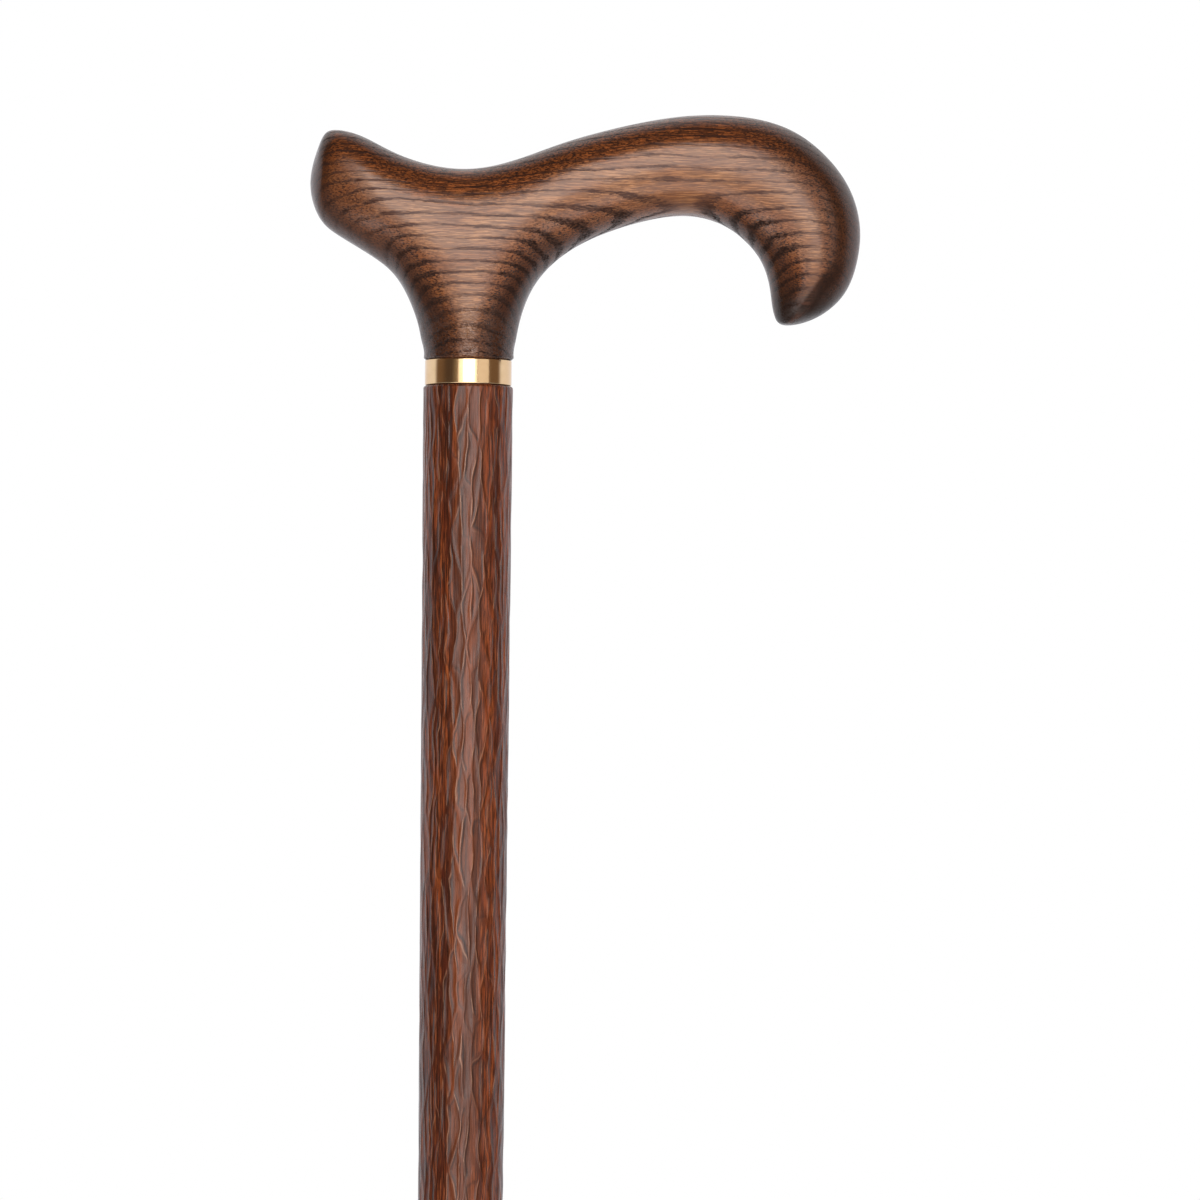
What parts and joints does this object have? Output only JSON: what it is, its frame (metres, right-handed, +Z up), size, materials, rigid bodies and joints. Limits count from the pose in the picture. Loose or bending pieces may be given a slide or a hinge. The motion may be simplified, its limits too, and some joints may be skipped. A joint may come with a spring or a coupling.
{
  "type": "walking stick",
  "caption": "Derby walking stick: stained hardwood handle with a saddle and a hooked nose, brass collar, tapered carved wooden shaft and a flared rubber ferrule.",
  "frame": {"origin": "centre of the ferrule's foot, on the shaft's axis", "axes": "+Z up the shaft to the handle, +X from the shaft towards the handle's nose, Y across the handle, which is symmetric about the XZ plane"},
  "size_m": [0.1284, 0.032, 0.92],
  "materials": {
    "handle_wood": "stained ash, satin lacquer",
    "shaft_wood": "red-brown stain on a carved surface, satin lacquer",
    "brass": "polished",
    "zinc_steel": "zinc plated",
    "ferrule_rubber": "matt moulded"
  },
  "bodies": {
    "stick": {"handle": "handle_wood", "collar_band": "brass", "threaded_rod": "zinc_steel", "shaft": "shaft_wood"},
    "ferrule_unit": {"ferrule": "ferrule_rubber", "ferrule_washer": "zinc_steel"}
  },
  "joints": [
    {"name": "ferrule_pull", "type": "slide", "parent": "stick", "child": "ferrule_unit", "axis": [0, 0, -1], "range_m": [0, 0.034]}
  ]
}
